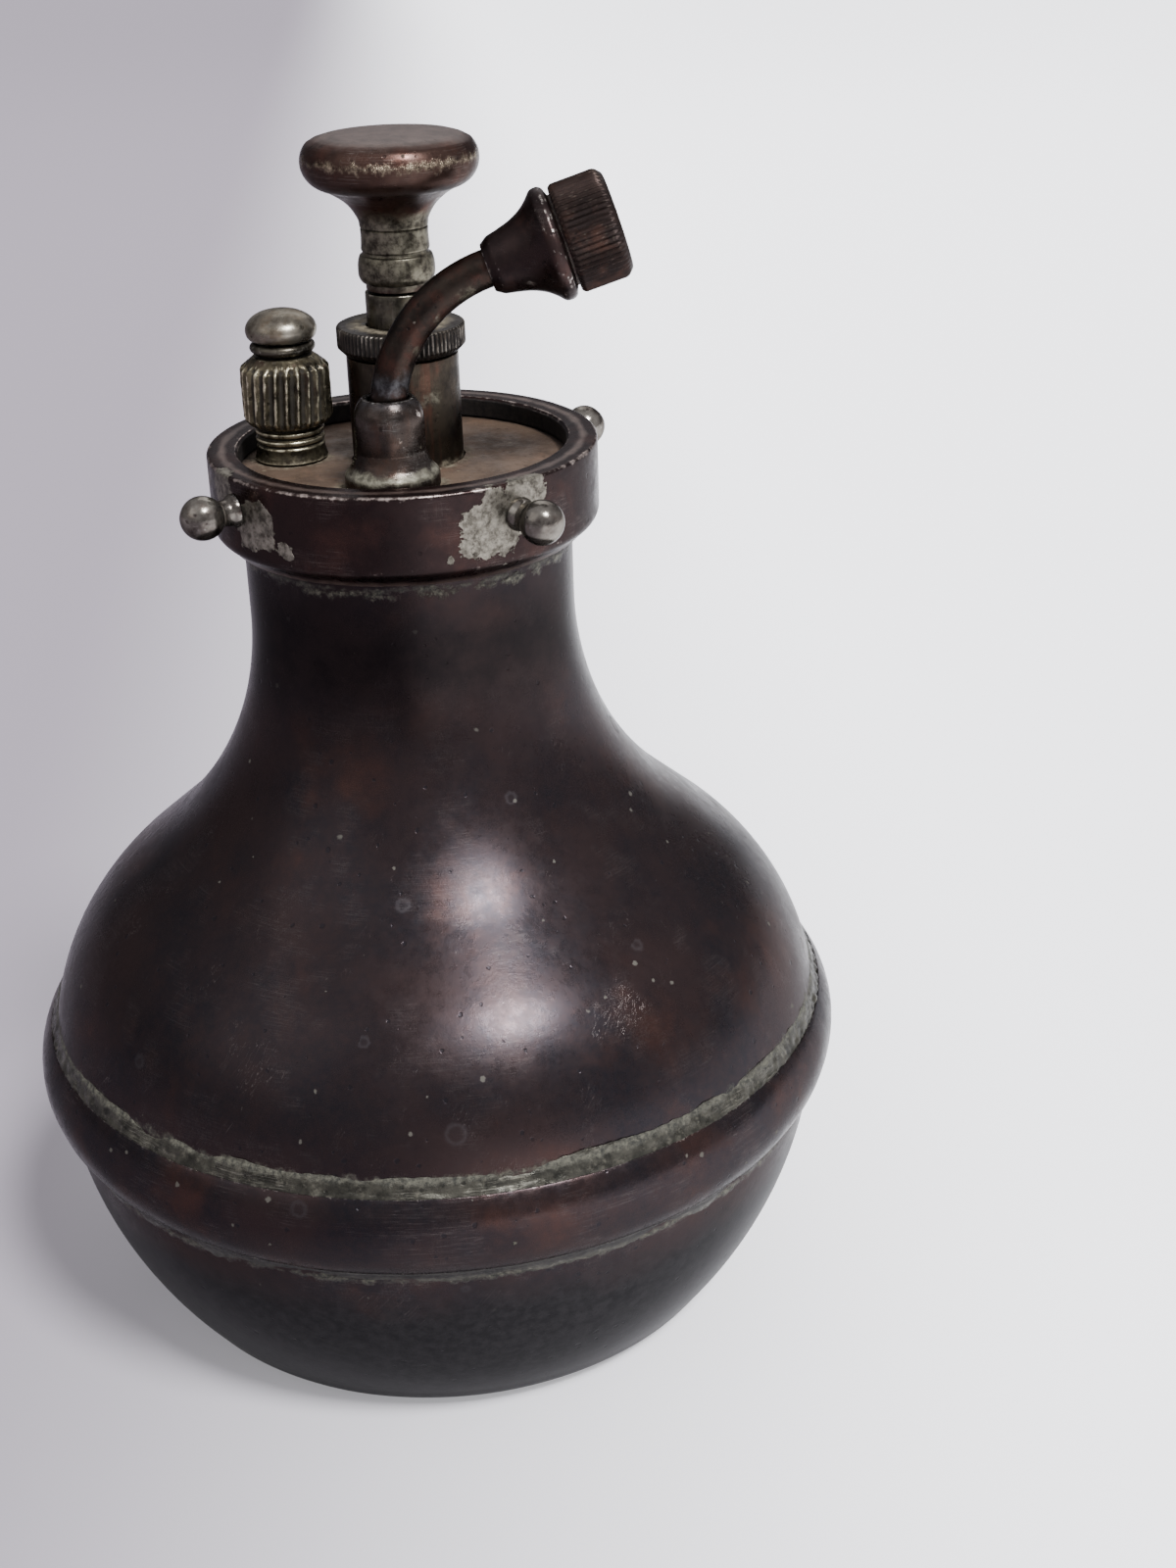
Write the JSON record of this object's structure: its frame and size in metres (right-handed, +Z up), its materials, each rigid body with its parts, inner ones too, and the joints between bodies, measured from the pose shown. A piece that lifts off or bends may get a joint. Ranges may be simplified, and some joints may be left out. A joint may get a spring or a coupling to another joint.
{
  "type": "hand pump sprayer",
  "caption": "Pear-shaped metal pressure sprayer with a belly band, a screw-on head, a plunger pump, a relief valve and a bent swivelling spout.",
  "frame": {"origin": "centre of the flat base that the vessel stands on", "axes": "+Z up along the vessel's axis, +X the way the spout points at rest"},
  "size_m": [0.119, 0.119, 0.1693],
  "materials": {
    "dark_copper": "dark brown patinated copper, satin, scratched",
    "bronzed_brass": "brown bronzed brass, worn at the edges",
    "worn_nickel": "worn nickel plate over brass, mottled",
    "yellow_brass": "plain turned brass",
    "dusty_plate": "dusty grey-brown brass with green verdigris",
    "rubber": "matt black rubber",
    "leather": "oiled cup leather",
    "felt": "packing felt",
    "steel": "bright spring steel"
  },
  "bodies": {
    "vessel": {"lower_bowl": "dark_copper", "upper_shell": "dark_copper", "belly_band": "dark_copper", "neck_bush": "yellow_brass"},
    "head": {"head_gasket": "rubber", "head_plate": "dusty_plate", "pump_barrel": "bronzed_brass", "gland_packing": "felt", "foot_valve_body": "yellow_brass", "foot_valve_cage": "yellow_brass", "foot_valve_spring": "steel", "relief_stub": "worn_nickel", "relief_spring": "steel", "outlet_boss": "worn_nickel", "dip_tube": "yellow_brass", "dip_strainer": "yellow_brass"},
    "collar": {"collar_ring": "dark_copper", "collar_stud_1": "worn_nickel", "collar_stud_2": "worn_nickel", "collar_stud_3": "worn_nickel", "collar_stud_4": "worn_nickel"},
    "gland": {"gland_cap": "bronzed_brass"},
    "plunger": {"plunger_knob": "bronzed_brass", "plunger_rod": "worn_nickel", "piston_back_plate": "yellow_brass", "piston_cup": "leather", "piston_spreader": "yellow_brass", "piston_nut": "yellow_brass"},
    "foot_ball": {"foot_valve_ball": "steel"},
    "relief_cap": {"relief_nut": "worn_nickel"},
    "relief_stem": {"relief_button": "worn_nickel", "relief_washer": "rubber", "relief_stem_nut": "yellow_brass"},
    "spout": {"spout_tube": "bronzed_brass", "spout_ring": "yellow_brass", "nozzle_cone": "bronzed_brass", "swirl_core": "yellow_brass", "spray_disc": "yellow_brass"},
    "spray_cap": {"nozzle_cap": "bronzed_brass"}
  },
  "joints": [
    {"name": "head_lift", "type": "slide", "parent": "vessel", "child": "head", "axis": [0, 0, 1], "range_m": [0, 0.1]},
    {"name": "collar_turn", "type": "hinge", "parent": "head", "child": "collar", "pos_m": [0, 0, 0.1232], "axis": [0, 0, 1], "range_deg": [0, 1320]},
    {"name": "plunger_slide", "type": "slide", "parent": "head", "child": "plunger", "axis": [0, 0, 1], "range_m": [0, 0.076]},
    {"name": "gland_turn", "type": "hinge", "parent": "head", "child": "gland", "pos_m": [0.0007, 0.0022, 0.1429], "axis": [0, 0, 1], "range_deg": [0, 1800]},
    {"name": "foot_ball_drop", "type": "slide", "parent": "head", "child": "foot_ball", "axis": [0, 0, -1], "range_m": [0, 0.0012], "stiffness_N_per_m": 60, "springref_m": -0.002, "deforming": ["foot_valve_spring"]},
    {"name": "relief_nut_turn", "type": "hinge", "parent": "head", "child": "relief_cap", "pos_m": [-0.0152, 0.0043, 0.1362], "axis": [0, 0, 1], "range_deg": [0, 1500]},
    {"name": "relief_lift", "type": "slide", "parent": "head", "child": "relief_stem", "axis": [0, 0, 1], "range_m": [0, 0.002], "stiffness_N_per_m": 2000, "springref_m": -0.004, "deforming": ["relief_spring"]},
    {"name": "spout_swing", "type": "hinge", "parent": "head", "child": "spout", "pos_m": [-0.0016, -0.012, 0.134], "axis": [0, 0, 1], "range_deg": [-180, 8]},
    {"name": "spray_cap_turn", "type": "hinge", "parent": "spout", "child": "spray_cap", "pos_m": [0.01276, -0.012, 0.15441], "axis": [0.9542, 0, 0.299], "range_deg": [0, 1500]}
  ]
}
